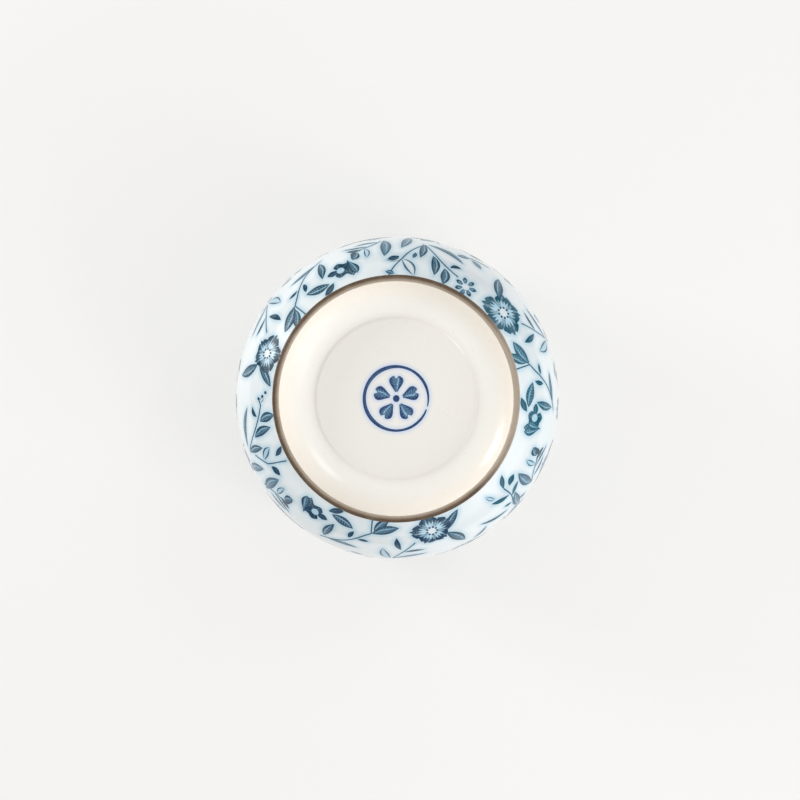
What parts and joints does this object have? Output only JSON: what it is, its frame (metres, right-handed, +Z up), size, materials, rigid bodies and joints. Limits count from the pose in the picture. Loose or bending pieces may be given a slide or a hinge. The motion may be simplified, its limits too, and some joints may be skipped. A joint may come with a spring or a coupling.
{
  "type": "teacup",
  "caption": "Porcelain teacup with a rounded lower wall, ring foot with a brown edge, and blue printed flowers all over the outside.",
  "frame": {"origin": "centre of the plane the foot rests on, on the cup's axis", "axes": "+Z up along the cup's axis to its mouth; X and Y across the cup, which is round"},
  "size_m": [0.086, 0.086, 0.07],
  "materials": {
    "porcelain": "matt biscuit porcelain",
    "cool_white_glaze": "glossy clear glaze over cool white porcelain",
    "warm_white_glaze": "glossy clear glaze, slightly warm where it thins",
    "blue_print": "indigo underglaze print, glossy",
    "iron_brown_edge": "satin iron-brown unglazed clay",
    "mark_blue": "cobalt stamp under glaze"
  },
  "bodies": {
    "root": {"cup_wall": "porcelain", "cup_floor": "porcelain", "foot_ring": "porcelain", "foot_edge": "iron_brown_edge", "print_band": "blue_print", "outer_glaze": "cool_white_glaze", "lip_glaze": "cool_white_glaze", "inner_glaze": "cool_white_glaze", "well_glaze": "warm_white_glaze", "maker_mark": "mark_blue"}
  },
  "joints": []
}
